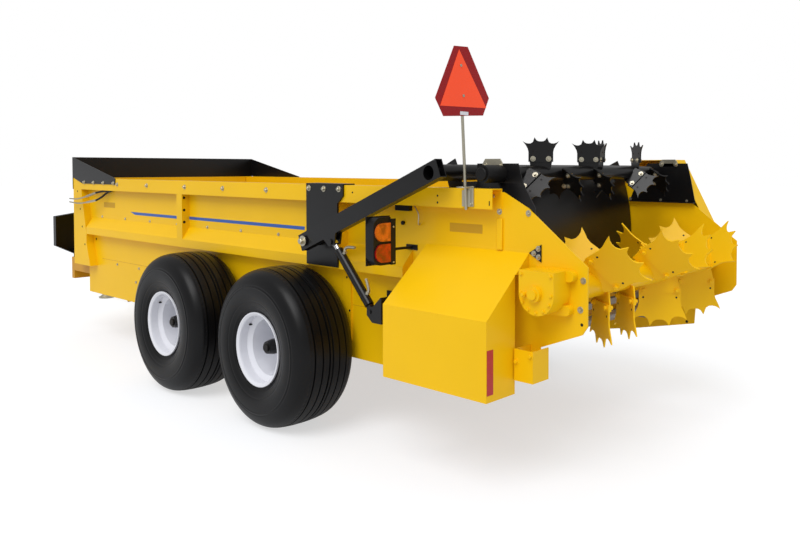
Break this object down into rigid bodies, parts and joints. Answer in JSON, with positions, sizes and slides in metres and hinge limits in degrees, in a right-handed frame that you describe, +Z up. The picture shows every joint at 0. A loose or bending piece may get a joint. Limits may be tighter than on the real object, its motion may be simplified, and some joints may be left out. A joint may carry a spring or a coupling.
{
  "type": "manure spreader",
  "caption": "Box manure spreader on tandem wheels with two rear beaters, a lifting end gate, an apron floor and a drawbar with a side jack.",
  "frame": {"origin": "centre of the hitch pin's bore, midway between the two ears of the clevis", "axes": "+X forward in the direction of travel, +Y to the left, +Z up; the wheels and the jack stand on z = -0.460 m"},
  "size_m": [8.3351, 2.641, 2.2504],
  "materials": {
    "yellow_paint": "satin",
    "black_paint": "satin",
    "dark_paint": "satin",
    "white_paint": "satin",
    "bare_steel": "satin",
    "zinc_steel": "satin",
    "chrome_rod": "polished",
    "cast_iron": "matte",
    "tyre_rubber": "matte",
    "black_plastic": "matte",
    "amber_lens": "gloss",
    "red_lens": "gloss",
    "emblem_orange": "gloss"
  },
  "bodies": {
    "chassis": {"side_beams": "dark_paint", "cross_members": "dark_paint", "drawbar": "yellow_paint", "hitch_clevis": "dark_paint", "side_wall_left": "yellow_paint", "side_wall_right": "yellow_paint", "ledges_left": "yellow_paint", "ledges_right": "yellow_paint", "side_posts": "yellow_paint", "top_rail_left": "yellow_paint", "top_rail_right": "yellow_paint", "front_wall": "yellow_paint", "front_guard": "black_paint", "front_shield": "black_paint", "floor": "dark_paint", "apron": "bare_steel", "apron_shafts": "bare_steel", "rear_plate_left": "yellow_paint", "rear_plate_right": "yellow_paint", "upper_plates": "black_paint", "beater_gearcase": "yellow_paint", "pocket_bracket": "yellow_paint", "beater_bearings": "cast_iron", "drive_cover_left": "yellow_paint", "drive_cover_right": "yellow_paint", "arm_brackets": "black_paint", "cylinder_mounts": "black_paint", "cross_axle": "dark_paint", "walking_beam_left": "dark_paint", "walking_beam_right": "dark_paint", "front_gearbox": "cast_iron", "power_guard": "black_plastic", "lamp_housings": "black_plastic", "lamp_lenses_amber": "amber_lens", "lamp_lenses_red": "red_lens", "emblem": "emblem_orange", "emblem_pole": "zinc_steel"},
    "wheel_rear_left": {"tyre_rear_left": "tyre_rubber", "rim_rear_left": "white_paint", "hub_rear_left": "black_paint"},
    "wheel_rear_right": {"tyre_rear_right": "tyre_rubber", "rim_rear_right": "white_paint", "hub_rear_right": "black_paint"},
    "wheel_front_left": {"tyre_front_left": "tyre_rubber", "rim_front_left": "white_paint", "hub_front_left": "black_paint"},
    "wheel_front_right": {"tyre_front_right": "tyre_rubber", "rim_front_right": "white_paint", "hub_front_right": "black_paint"},
    "lower_beater": {"lower_beater": "yellow_paint"},
    "upper_beater": {"upper_beater": "black_paint"},
    "gate": {"gate_frame": "black_paint", "gate_panel": "black_paint"},
    "barrel_left": {"cylinder_barrel_left": "black_paint"},
    "rod_left": {"cylinder_rod_left": "chrome_rod"},
    "barrel_right": {"cylinder_barrel_right": "black_paint"},
    "rod_right": {"cylinder_rod_right": "chrome_rod"},
    "jack": {"jack_tube": "zinc_steel", "jack_leg": "zinc_steel"},
    "power_shaft": {"power_shaft": "bare_steel"}
  },
  "joints": [
    {"name": "wheel_rear_left_spin", "type": "hinge", "parent": "chassis", "child": "wheel_rear_left", "pos_m": [-6.002, 1.106, 0.04], "axis": [0, 1, 0], "continuous": true},
    {"name": "wheel_rear_right_spin", "type": "hinge", "parent": "chassis", "child": "wheel_rear_right", "pos_m": [-6.002, -1.106, 0.04], "axis": [0, 1, 0], "continuous": true},
    {"name": "wheel_front_left_spin", "type": "hinge", "parent": "chassis", "child": "wheel_front_left", "pos_m": [-4.799, 1.106, 0.04], "axis": [0, 1, 0], "continuous": true},
    {"name": "wheel_front_right_spin", "type": "hinge", "parent": "chassis", "child": "wheel_front_right", "pos_m": [-4.799, -1.106, 0.04], "axis": [0, 1, 0], "continuous": true},
    {"name": "lower_beater_spin", "type": "hinge", "parent": "chassis", "child": "lower_beater", "pos_m": [-7.944, 0, 0.56], "axis": [0, 1, 0], "continuous": true},
    {"name": "upper_beater_spin", "type": "hinge", "parent": "chassis", "child": "upper_beater", "pos_m": [-7.55, 0, 1.132], "axis": [0, 1, 0], "continuous": true},
    {"name": "gate_lift", "type": "hinge", "parent": "chassis", "child": "gate", "pos_m": [-6.2, 0, 0.71], "axis": [0, 1, 0], "range_deg": [0, 40]},
    {"name": "cylinder_left_swing", "type": "hinge", "parent": "chassis", "child": "barrel_left", "pos_m": [-6.815, 1.0554, 0.345], "axis": [0, 1, 0], "range_deg": [-6.6, 0]},
    {"name": "cylinder_left_stroke", "type": "slide", "parent": "barrel_left", "child": "rod_left", "axis": [0.686, 0, 0.7276], "range_m": [0, 0.166]},
    {"name": "cylinder_right_swing", "type": "hinge", "parent": "chassis", "child": "barrel_right", "pos_m": [-6.815, -1.0554, 0.345], "axis": [0, 1, 0], "range_deg": [-6.6, 0]},
    {"name": "cylinder_right_stroke", "type": "slide", "parent": "barrel_right", "child": "rod_right", "axis": [0.686, 0, 0.7276], "range_m": [0, 0.166]},
    {"name": "jack_swing", "type": "hinge", "parent": "chassis", "child": "jack", "pos_m": [-0.35, -0.158, 0], "axis": [0, 1, 0], "range_deg": [0, 90]},
    {"name": "power_shaft_spin", "type": "hinge", "parent": "chassis", "child": "power_shaft", "pos_m": [-0.95, 0, 0.2], "axis": [1, 0, 0], "continuous": true}
  ],
  "couplings": [
    {"joint": "cylinder_left_swing", "follows": "gate_lift", "ratio": -0.163},
    {"joint": "cylinder_left_stroke", "follows": "gate_lift", "m_per_rad": 0.2372},
    {"joint": "cylinder_right_swing", "follows": "gate_lift", "ratio": -0.163},
    {"joint": "cylinder_right_stroke", "follows": "gate_lift", "m_per_rad": 0.2372}
  ]
}
